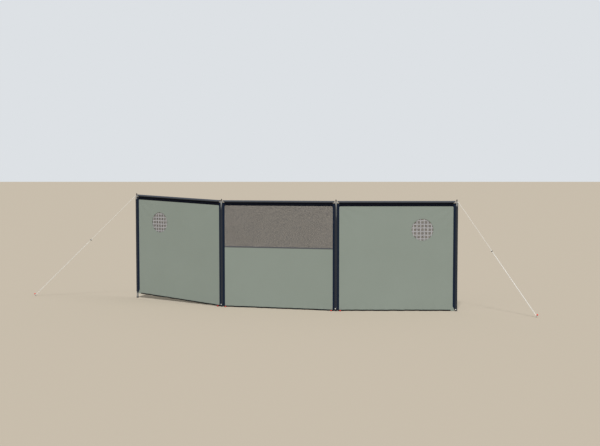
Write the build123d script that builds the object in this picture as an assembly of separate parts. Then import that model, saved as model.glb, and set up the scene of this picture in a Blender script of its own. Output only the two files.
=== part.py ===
from build123d import *
from dataclasses import dataclass
from math import cos, radians, sin
import os

# Beach windbreak of three cloth bays on four steel poles, in millimetres.
# The front faces -Y, X runs to the right and Z is up.
# The origin is on the ground under the foot of the right inner pole.

# Plan of the bays
bay_width = 1520.0  # from pole axis to pole axis
left_bay_turn = -33.5  # degrees that the left bay swings back
middle_bay_turn = -14.0
right_bay_turn = 0.0
ground_rise = 60.0  # how much higher the cloth stands at the left end pole

# Steel poles
pole_diameter = 25.0
pole_wall = 1.0
foot_flange_diameter = 30.0
foot_flange_thickness = 16.0
spigot_length = 40.0

# Top joint: rods' flattened ends stacked on the pin of each pole
rod_height = 1376.0  # rod axis above the foot of the cloth's own ground line
rod_diameter = 19.0
tongue_thickness = 5.0
tongue_width = 24.0
tongue_length = 18.0  # from the eye to the start of the neck
neck_gap = 2.0  # between the end of the neck and the top sleeve
neck_corner = 1.0  # cut off the corners of the neck's flat end
pin_diameter = 8.0
pin_flange_diameter = 28.0
pin_flange_thickness = 6.0
pin_grip = 20.0  # length of pin inside the cap
cap_diameter = 16.0
cap_height = 30.0
cap_bevel = 4.0

# Cloth
cloth_thickness = 2.0
border_thickness = 4.0  # border cloth folded round the edge of a panel
seam_depth = 12.0  # how far a panel runs into its border
sleeve_wall = 3.0
border_reach = 42.0  # from pole axis to the inner edge of the side border and the top sleeve
notch_drop = 66.0  # from rod axis to where the side border leaves the pole
shoulder_drop = 19.0  # from rod axis to where the same border meets the top sleeve
slit_width = 24.0  # of the V that opens the front of a pole sleeve, at its top
slit_depth = 58.0
sleeve_foot_height = 36.0
sleeve_taper_height = 58.0
band_depth = 50.0  # from rod axis to the lower edge of the top band
pocket_drop = 28.0  # from rod axis to the seam under the rod pocket
seam_lap = 1.0  # how far the band below the pocket runs up into its seam
corner_radius = 20.0
hem_height = 14.0
hem_lift = 4.0  # gap between ground and hem
hem_inset = 4.0  # how far the panel stops above the lower edge of the hem
panel_corner = 22.0  # from pole axis to the foot corner of a panel
panel_margin = 2.0  # how far a panel's lower corner stays inside its border

# See-through window in the middle bay
sill_height = 790.0

# Round vents in the outer bays
vent_diameter = 280.0
vent_drop = 346.0  # from rod axis to the middle of a vent
vent_inset = 430.0  # from the end pole to the middle of a vent
vent_rim = 12.0
vent_pitch = 46.0
vent_bar = 14.0
vent_thickness = 2.0
vent_edge = 6.0  # plain ring left inside the hole

# Guy ropes
rope_diameter = 4.5
rope_sides = 6  # flat sides round the rope's section
rope_standoff = 19.0  # from pole axis to the corner where the rope turns down
rope_bend = 10.0  # radius of that turn
loop_radius = 8.5
loop_height = 14.0
knot_diameter = 12.0
right_guy_run = 1006.0
right_guy_turn = -27.8  # plan direction, from +X
left_guy_run = 1500.0
left_guy_turn = 174.0
slider_share = 0.56  # slider's place on the rope, measured up from the peg
slider_length = 44.0
slider_width = 16.0
slider_thickness = 6.0
slider_corner = 4.0

# Pegs
guy_peg_diameter = 8.0
guy_peg_lean = 60.0  # degrees above the ground
guy_peg_reach = 24.0  # from rope loop to the top of the shank
guy_head_diameter = 22.0
guy_head_height = 14.0
guy_head_bevel = 4.0
guy_head_grip = 10.0
foot_peg_offset = 55.0
foot_peg_front = 22.0
foot_peg_diameter = 7.0
foot_head_diameter = 18.0
foot_head_top = 11.0
foot_head_height = 9.0
strap_width = 16.0
strap_thickness = 1.5
strap_length = 32.0

# Running fits
fit = 0.3


@dataclass
class Pole:
    """One pole: its name, its place and what lies on its pin below and above the rod axis."""

    name: str
    x: float
    y: float
    lift: float
    below: float
    above: float

    @property
    def foot(self):
        return Location((self.x, self.y, 0))

    @property
    def pin_level(self):
        return self.lift + rod_height

    @property
    def top(self):
        return self.pin_level - self.below - pin_flange_thickness


@dataclass
class Bay:
    """One bay, drawn in a frame whose X runs from its left pole to its right pole."""

    name: str
    left: Pole
    right: Pole
    turn: float
    panel_top: float

    @property
    def place(self):
        return self.left.foot * Location((0, 0, 0), (0, 0, self.turn))

    @property
    def slope(self):
        return (self.right.lift - self.left.lift) / bay_width

    def point(self, along, height):
        """A point of the bay, with its height above the sloping foot line."""
        return (along, height + self.left.lift + self.slope * along)


def step_from(x, y, turn, direction):
    """The next pole's place, one bay to the right (1) or to the left (-1)."""
    return (
        x + direction * bay_width * cos(radians(turn)),
        y + direction * bay_width * sin(radians(turn)),
    )


rope_space = rope_diameter + 2 * fit
band_foot = rod_height - band_depth
notch_height = rod_height - notch_drop
notch_shoulder = rod_height - shoulder_drop

right_inner_place = (0.0, 0.0)
right_end_place = step_from(*right_inner_place, right_bay_turn, 1)
left_inner_place = step_from(*right_inner_place, middle_bay_turn, -1)
left_end_place = step_from(*left_inner_place, left_bay_turn, -1)

left_end = Pole("left_end", *left_end_place, ground_rise, rope_space, tongue_thickness)
left_inner = Pole("left_inner", *left_inner_place, 0, tongue_thickness, tongue_thickness)
right_inner = Pole("right_inner", *right_inner_place, 0, tongue_thickness, tongue_thickness)
right_end = Pole("right_end", *right_end_place, 0, tongue_thickness, rope_space)
poles = [left_end, left_inner, right_inner, right_end]

panel_top = band_foot + seam_depth
left_bay = Bay("left", left_end, left_inner, left_bay_turn, panel_top)
middle_bay = Bay("middle", left_inner, right_inner, middle_bay_turn, sill_height)
right_bay = Bay("right", right_inner, right_end, right_bay_turn, panel_top)
bays = [left_bay, middle_bay, right_bay]


def upright(radius, low, high):
    """A cylinder about Z between two heights."""
    return Pos(0, 0, low) * Cylinder(radius, high - low, align=(Align.CENTER, Align.CENTER, Align.MIN))


def plate(outline, thickness):
    """A flat piece of cloth in a bay's own plane, even about it."""
    return extrude(Plane.XZ * outline, amount=thickness / 2, both=True)


def run_along(bay, section, start, end):
    """A section, drawn about the foot line, carried along a bay parallel to its foot line."""
    low = bay.point(start, 0)
    high = bay.point(end, 0)
    track = Vector(high[0] - low[0], 0, high[1] - low[1])
    face = Pos(low[0], 0, low[1]) * (Plane.YZ * section)
    return extrude(face, amount=track.length, dir=track.normalized())


# Poles and their fittings

def pole_tube(pole):
    outside = upright(pole_diameter / 2, foot_flange_thickness, pole.top)
    inside = upright(pole_diameter / 2 - pole_wall, foot_flange_thickness, pole.top)
    return pole.foot * (outside - inside)


def foot_plug(pole):
    """Flange on the ground and a spigot up the pole."""
    bore = pole_diameter / 2 - pole_wall
    flange = upright(foot_flange_diameter / 2, 0, foot_flange_thickness)
    spigot = upright(bore, foot_flange_thickness, foot_flange_thickness + spigot_length)
    return pole.foot * (flange + spigot)


def top_pin(pole):
    """Spigot in the pole, flange on its rim and the pin that takes the rods' eyes."""
    bore = pole_diameter / 2 - pole_wall
    seat = pole.top + pin_flange_thickness
    pin_end = pole.pin_level + pole.above + pin_grip
    spigot = upright(bore, pole.top - spigot_length, pole.top)
    flange = upright(pin_flange_diameter / 2, pole.top, seat)
    pin = upright(pin_diameter / 2, seat, pin_end)
    return pole.foot * (spigot + flange + pin)


def pin_cap(pole):
    """Soft cap pushed on the pin, which keeps the eyes and the rope down."""
    base = pole.pin_level + pole.above
    cap = upright(cap_diameter / 2, base, base + cap_height)
    cap = chamfer(cap.faces().sort_by(Axis.Z)[-1].edges(), cap_bevel)
    socket = upright(pin_diameter / 2, base, base + pin_grip)
    return pole.foot * (cap - socket)


# Top rods

def eight_sided(width, height, corner):
    """Upright rectangle with its corners cut off, square to the bay."""
    return Plane.YZ * chamfer(Rectangle(width, height).vertices(), corner)


def rod_end(bay, pole, inward):
    """Flattened tongue with its eye, and the neck, eight-sided inside the round rod's outline."""
    along = 0 if inward > 0 else bay_width
    low = pole.pin_level if inward > 0 else pole.pin_level - tongue_thickness
    middle = low + tongue_thickness / 2
    eye = Circle(tongue_width / 2)
    strip = Pos(inward * tongue_length / 2, 0) * Rectangle(tongue_length, tongue_width)
    hole = Circle(pin_diameter / 2 + fit)
    tongue = Pos(along, 0, low) * extrude(eye + strip - hole, amount=tongue_thickness)
    flat = eight_sided(tongue_width, tongue_thickness, neck_corner)
    flat = Pos(along + inward * tongue_length, 0, middle) * flat
    neck_end = along + inward * (border_reach - neck_gap)
    across = rod_diameter * cos(radians(22.5))
    octagon = eight_sided(across, across, across / (2 + 2 ** 0.5))
    octagon = Pos(neck_end, 0, bay.point(neck_end, rod_height)[1]) * octagon
    corners = [corner.center() for corner in flat.vertices() + octagon.vertices()]
    return tongue + ConvexPolyhedron(corners)


def top_rod(bay):
    start = border_reach - neck_gap
    section = Pos(0, rod_height) * Circle(rod_diameter / 2)
    bar = run_along(bay, section, start, bay_width - start)
    return bar + rod_end(bay, bay.left, 1) + rod_end(bay, bay.right, -1)


# Cloth

def corner_gusset(along, inward):
    """Rounded inner corner between side border and top band, run a little way up the band."""
    height = corner_radius + seam_depth / 2
    block = Pos(along + inward * corner_radius / 2, band_foot - corner_radius + height / 2)
    round_off = Pos(along + inward * corner_radius, band_foot - corner_radius)
    return block * Rectangle(corner_radius, height) - round_off * Circle(corner_radius)


def sloped(bay, points):
    return Polygon(*[bay.point(*point) for point in points], align=None)


def mirrored(points):
    """The same outline at the right-hand pole of a bay."""
    return [(bay_width - along, height) for along, height in points]


def panel_outline(bay):
    side = border_reach - seam_depth
    foot = hem_lift + hem_inset
    knee = sleeve_foot_height + panel_margin
    left_side = [
        (panel_corner, foot),
        (panel_corner, knee),
        (side, sleeve_taper_height - panel_margin),
        (side, bay.panel_top),
    ]
    return sloped(bay, left_side + mirrored(left_side)[::-1])


def vent_centre(bay):
    along = vent_inset if bay is left_bay else bay_width - vent_inset
    return Pos(*bay.point(along, rod_height - vent_drop))


def panel(bay):
    outline = panel_outline(bay)
    if bay is not middle_bay:
        outline -= vent_centre(bay) * Circle(vent_diameter / 2)
    return plate(outline, cloth_thickness)


def window_mesh():
    side = border_reach - seam_depth
    left_side = [(side, sill_height), (side, panel_top)]
    outline = sloped(middle_bay, left_side + mirrored(left_side)[::-1])
    return plate(outline, cloth_thickness)


def vent(bay):
    """Round grille of tape, sewn to the back of the panel round its hole."""
    disc = Circle(vent_diameter / 2 + vent_rim)
    count = int(vent_diameter // vent_pitch) + 1
    cells = Sketch() + [
        place * Rectangle(vent_pitch - vent_bar, vent_pitch - vent_bar)
        for place in GridLocations(vent_pitch, vent_pitch, count, count)
    ]
    grille = disc - (cells & Circle(vent_diameter / 2 - vent_edge))
    back = Pos(0, cloth_thickness / 2, 0)
    return back * extrude(Plane.XZ * (vent_centre(bay) * grille), amount=-vent_thickness)


def bay_cloth(bay):
    """Every sheet of a bay that runs into its borders."""
    sheets = panel(bay)
    if bay is middle_bay:
        sheets += window_mesh()
    return sheets


def top_sleeve(bay):
    """Pocket round the rod, drawn in to a seam, with the band that holds the cloth below it."""
    crown = rod_diameter / 2 + fit + sleeve_wall
    half = border_thickness / 2
    rise = (crown - half) / pocket_drop
    shoulder_y = crown * (1 - rise * rise) ** 0.5
    shoulder_z = rod_height - crown * rise
    throat = rod_height - pocket_drop
    taper = Polygon(
        (-shoulder_y, shoulder_z), (-half, throat), (half, throat), (shoulder_y, shoulder_z), align=None
    )
    pocket = Pos(0, rod_height) * Circle(crown) + taper
    bore = Pos(0, rod_height) * Circle(rod_diameter / 2 + fit)
    end = bay_width - border_reach
    sleeve = run_along(bay, pocket - bore, border_reach, end)
    corners = [(border_reach, band_foot), (border_reach, throat + seam_lap)]
    band = sloped(bay, corners + mirrored(corners)[::-1])
    for along, inward in ((border_reach, 1), (end, -1)):
        lift = bay.point(along, 0)[1]
        band += Pos(0, lift) * corner_gusset(along, inward)
    return sleeve + plate(band, border_thickness) - bay_cloth(bay)


def hem(bay):
    """Tape folded round the lower edge of a panel."""
    section = Pos(0, hem_lift + hem_height / 2) * Rectangle(border_thickness, hem_height)
    tape = run_along(bay, section, panel_corner, bay_width - panel_corner)
    return tape - panel(bay)


def side_border(bay, at_left_pole):
    """The flat part of a pole sleeve that holds one side of a bay."""
    tube = pole_diameter / 2 + fit + sleeve_wall
    outline = [
        (0, sleeve_foot_height),
        (tube, sleeve_foot_height),
        (border_reach, sleeve_taper_height),
        (border_reach, notch_shoulder),
        (tube, notch_height),
        (0, notch_height),
    ]
    points = outline if at_left_pole else mirrored(outline)
    return plate(sloped(bay, points), border_thickness) - bay_cloth(bay)


def pole_sleeve(pole):
    """Pocket round the pole with a side border for each bay that meets it."""
    bore = pole_diameter / 2 + fit
    foot = pole.lift + sleeve_foot_height
    top = pole.lift + notch_height
    sleeve = pole.foot * upright(bore + sleeve_wall, foot, top)
    joined = [bay for bay in bays if pole is bay.left or pole is bay.right]
    for bay in joined:
        sleeve += bay.place * side_border(bay, pole is bay.left)
    sleeve -= pole.foot * upright(bore, foot - border_reach, top + border_reach)
    facing = sum(bay.turn for bay in joined) / len(joined)
    opening = Polygon((-slit_width / 2, 0), (slit_width / 2, 0), (0, -slit_depth), align=None)
    slit = extrude(Plane.XZ * opening, amount=bore + 2 * sleeve_wall)
    return sleeve - pole.foot * Location((0, 0, top), (0, 0, facing)) * slit


# Guy ropes and their pegs

def guy_frame(pole, run, turn):
    """Frame at the rope's loop: X across the rope, Y up along it."""
    out = Vector(cos(radians(turn)), sin(radians(turn)), 0)
    across = Vector(-out.Y, out.X, 0)
    ring_level = rope_level(pole)
    top = Vector(pole.x, pole.y, ring_level) + out * rope_standoff
    loop = Vector(pole.x, pole.y, loop_height) + out * run - across * loop_radius
    up_rope = top - (loop + across * loop_radius)
    normal = across.cross(up_rope.normalized())
    return Plane(origin=loop, x_dir=across, z_dir=normal), up_rope.length, out


def rope_level(pole):
    """Height of the rope's eye on the pin, under the rod at the left and over it at the right."""
    side = -1 if pole is left_end else 1
    return pole.pin_level + side * rope_space / 2


def strand(section, across, start, end):
    """A straight length of rope along Y of the guy's frame."""
    return Pos(across, start, 0) * extrude(Plane.XZ * section, amount=start - end)


def bent(section, radius, turn):
    """Rope led round a circle about Z, clockwise from +X seen from above."""
    return revolve(Plane.XZ * Pos(radius, 0) * section, -Axis.Z, turn)


def knot():
    """Rope's tail knot, along Y."""
    half = knot_diameter / 2
    ball = extrude(Plane.XZ * RegularPolygon(half, rope_sides), amount=half, both=True)
    ends = ball.faces().sort_by(Axis.Y)
    return chamfer(ends[0].edges() + ends[-1].edges(), half / 2)


def guy_rope(pole, run, turn):
    """Eye on the pin, straight fall, and the doubled length from slider round the peg."""
    frame, length, out = guy_frame(pole, run, turn)
    section = RegularPolygon(rope_diameter / 2, rope_sides)
    slider_at = length * slider_share
    knot_at = slider_at + slider_thickness / 2 + fit + knot_diameter / 2
    tail = bent(section, loop_radius, 180) + strand(section, -loop_radius, 0, knot_at)
    tail += Pos(-loop_radius, knot_at, 0) * knot()
    eye_radius = (pin_diameter + rope_diameter) / 2 + fit
    pin = Vector(pole.x, pole.y, rope_level(pole))
    eye = Location(pin) * bent(section, eye_radius, 360)
    corner = pin + out * rope_standoff
    ends = [pin + out * eye_radius, frame.origin + frame.x_dir * loop_radius]
    path = FilletPolyline(ends[0], corner, ends[1], radius=rope_bend)
    fall = sweep(Plane(origin=ends[0], x_dir=frame.x_dir, z_dir=out) * section, path=path)
    return eye + fall + frame.location * tail


def guy_slider(pole, run, turn):
    """Small bar with two holes, gripping the doubled rope."""
    frame, length, out = guy_frame(pole, run, turn)
    bar = Rectangle(slider_length, slider_width)
    bar = chamfer(bar.vertices(), slider_corner)
    holes = Circle(rope_diameter / 2 + fit)
    bar -= Pos(loop_radius, 0) * holes
    bar -= Pos(-loop_radius, 0) * holes
    body = extrude(Plane.XZ * bar, amount=slider_thickness / 2, both=True)
    return frame.location * Pos(0, length * slider_share, 0) * body


def peg_frame(pole, run, turn):
    """Frame on the peg's axis at the rope's loop, with Z up the peg."""
    frame, length, out = guy_frame(pole, run, turn)
    axis = out * cos(radians(guy_peg_lean)) + Vector(0, 0, sin(radians(guy_peg_lean)))
    along_rope = guy_peg_diameter / 2 / axis.cross(frame.y_dir).length
    play = loop_radius - rope_diameter / 2 - along_rope - fit
    return Plane(origin=frame.origin - frame.y_dir * play, x_dir=frame.x_dir, z_dir=axis)


def guy_peg(pole, run, turn):
    """Steel shank, cut level with the ground."""
    frame = peg_frame(pole, run, turn)
    shank = frame.location * upright(guy_peg_diameter / 2, -4 * loop_height, guy_peg_reach)
    side = 8 * loop_height
    above = Box(side, side, side, align=(Align.CENTER, Align.CENTER, Align.MIN))
    return shank & Pos(frame.origin.X, frame.origin.Y, 0) * above


def guy_peg_head(pole, run, turn):
    """Moulded head on the shank."""
    base = guy_peg_reach - guy_head_grip
    head = upright(guy_head_diameter / 2, base, base + guy_head_height)
    head = chamfer(head.faces().sort_by(Axis.Z)[-1].edges(), guy_head_bevel)
    head -= upright(guy_peg_diameter / 2, base, guy_peg_reach)
    return peg_frame(pole, run, turn).location * head


def foot_peg_places():
    """Places of the pegs on both sides of each inner pole's foot, with each bay's turn."""
    places = []
    for bay in bays:
        for pole in (left_inner, right_inner):
            if pole is bay.left:
                places.append(bay.place * Pos(foot_peg_offset, 0, 0))
            if pole is bay.right:
                places.append(bay.place * Pos(bay_width - foot_peg_offset, 0, 0))
    return places


def foot_peg():
    """Moulded peg whose head, narrower at its top, holds the strap down."""
    shank = upright(foot_peg_diameter / 2, 0, strap_thickness)
    seat = (Align.CENTER, Align.CENTER, Align.MIN)
    head = Cone(foot_head_diameter / 2, foot_head_top / 2, foot_head_height, align=seat)
    return Pos(0, -foot_peg_front, 0) * (shank + Pos(0, 0, strap_thickness) * head)


def foot_strap():
    """Tab sewn to the hem and turned forward on the ground, with a hole for its peg."""
    front = -border_thickness / 2
    height = hem_lift + hem_height
    leg = Pos(0, front - strap_thickness / 2, height / 2) * Box(strap_width, strap_thickness, height)
    tongue = Pos(0, front - strap_length / 2) * Rectangle(strap_width, strap_length)
    tongue -= Pos(0, -foot_peg_front) * Circle(foot_peg_diameter / 2 + fit)
    return leg + extrude(tongue, amount=strap_thickness)


# Every piece by name

guys = {
    "left": (left_end, left_guy_run, left_guy_turn),
    "right": (right_end, right_guy_run, right_guy_turn),
}

parts = {}
for pole in poles:
    parts[pole.name + "_pole"] = pole_tube(pole)
    parts[pole.name + "_top_pin"] = top_pin(pole)
    parts[pole.name + "_pole_sleeve"] = pole_sleeve(pole)

for bay in bays:
    parts[bay.name + "_top_rod"] = bay.place * top_rod(bay)
    parts[bay.name + "_top_sleeve"] = bay.place * top_sleeve(bay)
    parts[bay.name + "_hem"] = bay.place * hem(bay)
    parts[bay.name + "_panel"] = bay.place * panel(bay)
    if bay is middle_bay:
        parts["window_mesh"] = bay.place * window_mesh()
    else:
        parts[bay.name + "_vent"] = bay.place * vent(bay)

for side, guy in guys.items():
    parts[side + "_guy_rope"] = guy_rope(*guy)
    parts[side + "_guy_slider"] = guy_slider(*guy)
    parts[side + "_guy_peg"] = guy_peg(*guy)
    parts[side + "_guy_peg_head"] = guy_peg_head(*guy)

parts["foot_plugs"] = Compound([foot_plug(pole) for pole in poles])
parts["pin_caps"] = Compound([pin_cap(pole) for pole in poles])
parts["foot_pegs"] = Compound([place * foot_peg() for place in foot_peg_places()])
parts["foot_peg_straps"] = Compound([place * foot_strap() for place in foot_peg_places()])

os.makedirs("parts", exist_ok=True)
for name, shape in parts.items():
    export_step(shape, f"parts/{name}.step")
    print(f"{name:26s} {shape.volume / 1000:10.1f} cm3")
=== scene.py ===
import bmesh
import bpy
import numpy as np
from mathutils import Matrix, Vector


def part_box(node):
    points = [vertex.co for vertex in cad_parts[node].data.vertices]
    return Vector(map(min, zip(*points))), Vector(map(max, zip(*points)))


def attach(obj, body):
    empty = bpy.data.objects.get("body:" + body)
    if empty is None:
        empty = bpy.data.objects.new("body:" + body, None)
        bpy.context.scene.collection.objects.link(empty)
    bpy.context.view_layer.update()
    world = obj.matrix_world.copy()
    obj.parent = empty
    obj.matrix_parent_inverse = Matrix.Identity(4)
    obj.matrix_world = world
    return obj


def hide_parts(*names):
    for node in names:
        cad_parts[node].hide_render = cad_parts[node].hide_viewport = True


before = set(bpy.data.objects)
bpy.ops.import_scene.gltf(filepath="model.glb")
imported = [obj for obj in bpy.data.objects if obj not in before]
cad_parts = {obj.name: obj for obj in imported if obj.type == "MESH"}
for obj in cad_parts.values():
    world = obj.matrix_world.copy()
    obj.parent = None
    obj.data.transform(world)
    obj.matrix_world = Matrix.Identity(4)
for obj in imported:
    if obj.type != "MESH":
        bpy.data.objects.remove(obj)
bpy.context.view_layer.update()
scene = bpy.context.scene
print("frame loaded with", len(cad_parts), "nodes")

# Beach windbreak: three cloth bays on four steel poles, with a net window, two vents and two guy ropes.
# Metres throughout. The front faces -Y and the origin is on the ground under the right inner pole.


def addObject(name, data):
    item = bpy.data.objects.new(name, data)
    scene.collection.objects.link(item)
    return item


# Camera

camera = {
    "place": (-0.453, -10.478, 1.668),
    "pitch": -3.017,  # degrees below the horizon
    "lens": 50.0,
    "sensor": 36.0,
    "far": 2000.0,
}
cameraData = bpy.data.cameras.new("camera")
cameraData.lens = camera["lens"]
cameraData.sensor_width = camera["sensor"]
cameraData.clip_end = camera["far"]
scene.camera = addObject("camera", cameraData)
scene.camera.location = camera["place"]
scene.camera.rotation_euler = (np.radians(90 + camera["pitch"]), 0, 0)
scene.view_settings.view_transform = "Standard"


# Places read from the frame

def boxCentre(node):
    low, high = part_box(node)
    return (low + high) / 2


cloth = {
    "rise": 0.06,  # higher by this at the left end pole
    "reach": 0.042,  # pole axis to the border's edge
    "seamDepth": 0.012,  # how far a panel runs into its border
    "corner": 0.022,  # pole axis to a panel's foot corner
    "pocketDrop": 0.028,  # rod axis to the seam below it
    "bandDrop": 0.05,  # rod axis to the band's lower edge
    "cornerRadius": 0.013,
    "half": 0.002,  # half a border's thickness
    "sill": 0.79,
}
rodHeight = boxCentre("right_top_rod").z
# Where a panel ends: inside its side border, from the pole's axis, and inside the top band
innerEdge = cloth["reach"] - cloth["seamDepth"]
topSeam = rodHeight - cloth["bandDrop"] + cloth["seamDepth"]
poleNames = ("left_end", "left_inner", "right_inner", "right_end")
poleAxis = {name: np.array(boxCentre(name + "_pole").xy) for name in poleNames}
bays = dict(zip(("left", "middle", "right"), zip(poleNames, poleNames[1:])))
bayWidth = np.linalg.norm(poleAxis["right_end"] - poleAxis["right_inner"])


def bayDirection(bay):
    start, end = (poleAxis[name] for name in bays[bay])
    return (end - start) / bayWidth


def footLine(bay, along):
    # Level ground in two bays, a straight rise to the left end pole in the third
    return cloth["rise"] * (1 - along / bayWidth) if bay == "left" else 0 * along


def joined(*parts):
    return np.stack(np.broadcast_arrays(*parts), axis=-1).astype(float)


def bayPoint(bay, along, depth, z):
    # Left pole + along x bay direction + depth x the direction square to it, to the back
    forward = bayDirection(bay)
    start = poleAxis[bays[bay][0]]
    x = start[0] + along * forward[0] - depth * forward[1]
    y = start[1] + along * forward[1] + depth * forward[0]
    return joined(x, y, z)


def eased(value):
    # 0 below 0, 1 above 1 and a smooth cubic step between
    value = np.clip(value, 0, 1)
    return value * value * (3 - 2 * value)


# Mesh making

def unit(vector):
    return vector / np.linalg.norm(vector, axis=-1, keepdims=True)


def spaced(start, end, step):
    return np.linspace(start, end, max(2, int(np.ceil(abs(end - start) / step)) + 1))


def rounded(corners, radius, steps=5):
    # Each inner corner gives way to a parabola that starts and ends one radius from it
    corners = np.array(corners, float)
    line = [corners[:1]]
    t = np.linspace(0, 1, steps)[:, None]
    for before, here, after in zip(corners, corners[1:], corners[2:]):
        sides = before - here, after - here
        first, last = (here + side * min(0.5, radius / np.linalg.norm(side)) for side in sides)
        line.append(first * (1 - t) ** 2 + 2 * here * t * (1 - t) + last * t ** 2)
    line.append(corners[-1:])
    return np.concatenate(line)


def quadsOf(rows, columns):
    # Four corners of each cell of a grid, as places in its list of points
    first = (np.arange(rows - 1)[:, None] * columns + np.arange(columns - 1)).ravel()
    return np.stack([first, first + 1, first + columns + 1, first + columns], axis=1)


def grid(points, uv, seam=0.0):
    # Quads join each point to its neighbours; seam is its place across the cloth
    rows, columns = points.shape[:2]
    seam = np.broadcast_to(seam, (rows, columns)).ravel()
    return points.reshape(-1, 3), quadsOf(rows, columns), uv.reshape(-1, 2), seam


def lengthAlong(line):
    return np.concatenate([[0], np.cumsum(np.linalg.norm(np.diff(line, axis=0), axis=1))])


def tube(path, normal, radius, sides=12):
    # Ring at each path point: radius x (cos a x normal + sin a x side), drawn to a point at both ends
    tangent = unit(np.gradient(path, axis=0))
    normal = np.broadcast_to(np.array(normal, float), path.shape)
    side = unit(np.cross(tangent, normal))
    angle = np.linspace(0, 2 * np.pi, sides + 1)
    ring = np.cos(angle)[:, None] * normal[:, None] + np.sin(angle)[:, None] * side[:, None]
    points = path[:, None] + radius * ring
    ends = [np.broadcast_to(path[end], points[end].shape)[None] for end in (0, -1)]
    points = np.concatenate([ends[0], points, ends[1]])
    length = np.pad(lengthAlong(path), 1, mode="edge")
    return grid(points, joined(length[:, None], angle / (2 * np.pi)))


def lathe(profile, origin, axis, sides=32):
    # Profile of (radius, distance along the axis), turned once round the axis
    axis = unit(np.array(axis, float))
    anyDirection = (0.31, 0.87, 0.12)
    first = unit(np.cross(axis, anyDirection))
    second = np.cross(axis, first)
    angle = np.linspace(0, 2 * np.pi, sides + 1)
    ring = np.cos(angle)[:, None] * first + np.sin(angle)[:, None] * second
    profile = np.array(profile, float)
    points = np.array(origin, float) + profile[:, None, 1:] * axis + profile[:, None, :1] * ring
    return grid(points, joined(angle, profile[:, 1:]))


def addThickness(piece, thickness, offset):
    # Open edges are marked sharp, so the thin rim doesn't bend the shading beside it
    mesh = piece.data
    edgeOfCorner = np.zeros(len(mesh.loops), dtype=np.int32)
    mesh.loops.foreach_get("edge_index", edgeOfCorner)
    isOpen = np.bincount(edgeOfCorner, minlength=len(mesh.edges)) == 1
    mesh.attributes.new("sharp_edge", "BOOLEAN", "EDGE").data.foreach_set("value", isOpen)
    modifier = piece.modifiers.new("thickness", "SOLIDIFY")
    modifier.thickness = thickness
    modifier.offset = offset


def addPiece(name, patches, material, replaces=(), wall=None):
    # Patches become one mesh, closed by merging the points that coincide.
    # A cloth has a wall, its thickness and the side it grows to; all else is a closed body
    vertices, uv, seam = (np.concatenate([patch[part] for patch in patches]) for part in (0, 2, 3))
    starts = np.cumsum([0] + [len(patch[0]) for patch in patches])
    quads = np.concatenate([patch[1] + start for patch, start in zip(patches, starts)])
    mesh = bpy.data.meshes.new(name)
    mesh.from_pydata(vertices.tolist(), [], quads.tolist())
    mesh.uv_layers.new(name="cloth").data.foreach_set("uv", uv[quads.ravel()].ravel())
    mesh.attributes.new("seam", "FLOAT", "POINT").data.foreach_set("value", seam)
    shape = bmesh.new()
    shape.from_mesh(mesh)
    bmesh.ops.remove_doubles(shape, verts=shape.verts, dist=1e-6)
    if not wall:
        bmesh.ops.recalc_face_normals(shape, faces=shape.faces)
    shape.to_mesh(mesh)
    shape.free()
    mesh.shade_smooth()
    mesh.materials.append(material)
    piece = addObject(name, mesh)
    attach(piece, "root")
    if replaces:
        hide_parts(*replaces)
    if wall:
        addThickness(piece, *wall)
    return piece


# Materials

def linear(colour):
    # sRGB to linear: c / 12.92 up to 0.04045, above it ((c + 0.055) / 1.055) ^ 2.4
    channels = np.array([int(colour[i:i + 2], 16) for i in (1, 3, 5)]) / 255
    curve = np.where(channels <= 0.04045, channels / 12.92, ((channels + 0.055) / 1.055) ** 2.4)
    return (*curve, 1.0)


def addNode(tree, kind, settings=None, inputs=None):
    node = tree.nodes.new("ShaderNode" + kind)
    for name, value in (settings or {}).items():
        setattr(node, name, value)
    for name, value in (inputs or {}).items():
        if isinstance(value, bpy.types.NodeSocket):
            tree.links.new(value, node.inputs[name])
        else:
            node.inputs[name].default_value = value
    return node


def emptyTree(owner):
    owner.use_nodes = True
    owner.node_tree.nodes.clear()
    return owner.node_tree


def newMaterial(name):
    material = bpy.data.materials.new(name)
    return material, emptyTree(material)


def finished(material, inputs, shader="BsdfPrincipled"):
    tree = material.node_tree
    surface = addNode(tree, shader, None, inputs).outputs[0]
    addNode(tree, "OutputMaterial", None, {"Surface": surface})
    return material


def addMix(tree, factor, first, second):
    # Colour between first and second, each a hex value or a socket
    colours = [linear(c) if isinstance(c, str) else c for c in (first, second)]
    inputs = {0: factor, 6: colours[0], 7: colours[1]}
    return addNode(tree, "Mix", {"data_type": "RGBA"}, inputs).outputs[2]


def addMath(tree, operation, first, second=0.0):
    return addNode(tree, "Math", {"operation": operation}, {0: first, 1: second}).outputs[0]


def addNoise(tree, scale, detail):
    space = addNode(tree, "TexCoord").outputs["Object"]
    return addNode(tree, "TexNoise", None, {"Vector": space, "Scale": scale, "Detail": detail}).outputs["Fac"]


def addRange(tree, value, low, high, start=0.0, end=1.0):
    # From start to end becomes from low to high
    return addNode(tree, "MapRange", None, {0: value, 1: start, 2: end, 3: low, 4: high}).outputs[0]


def addBump(tree, strength, distance, height):
    inputs = {"Strength": strength, "Distance": distance, "Height": height}
    return addNode(tree, "Bump", None, inputs).outputs[0]


def addPlaces(tree):
    # Both places along the cloth, in metres
    return addNode(tree, "SeparateXYZ", None, {0: addNode(tree, "TexCoord").outputs["UV"]}).outputs


def weaveHeight(tree, pitch):
    # Plain weave, a chequer of tops and hollows: sine of one place x sine of the other
    turns = [addMath(tree, "MULTIPLY", addPlaces(tree)[i], np.pi / pitch) for i in (0, 1)]
    waves = [addMath(tree, "SINE", turn) for turn in turns]
    return addMath(tree, "MULTIPLY", waves[0], waves[1])


yarnNoise = {
    "scale": 420.0,  # yarn thickens and thins over 2 to 3 mm
    "spread": 0.06,  # roughness, either way
    "relief": 0.0004,
}


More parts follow.
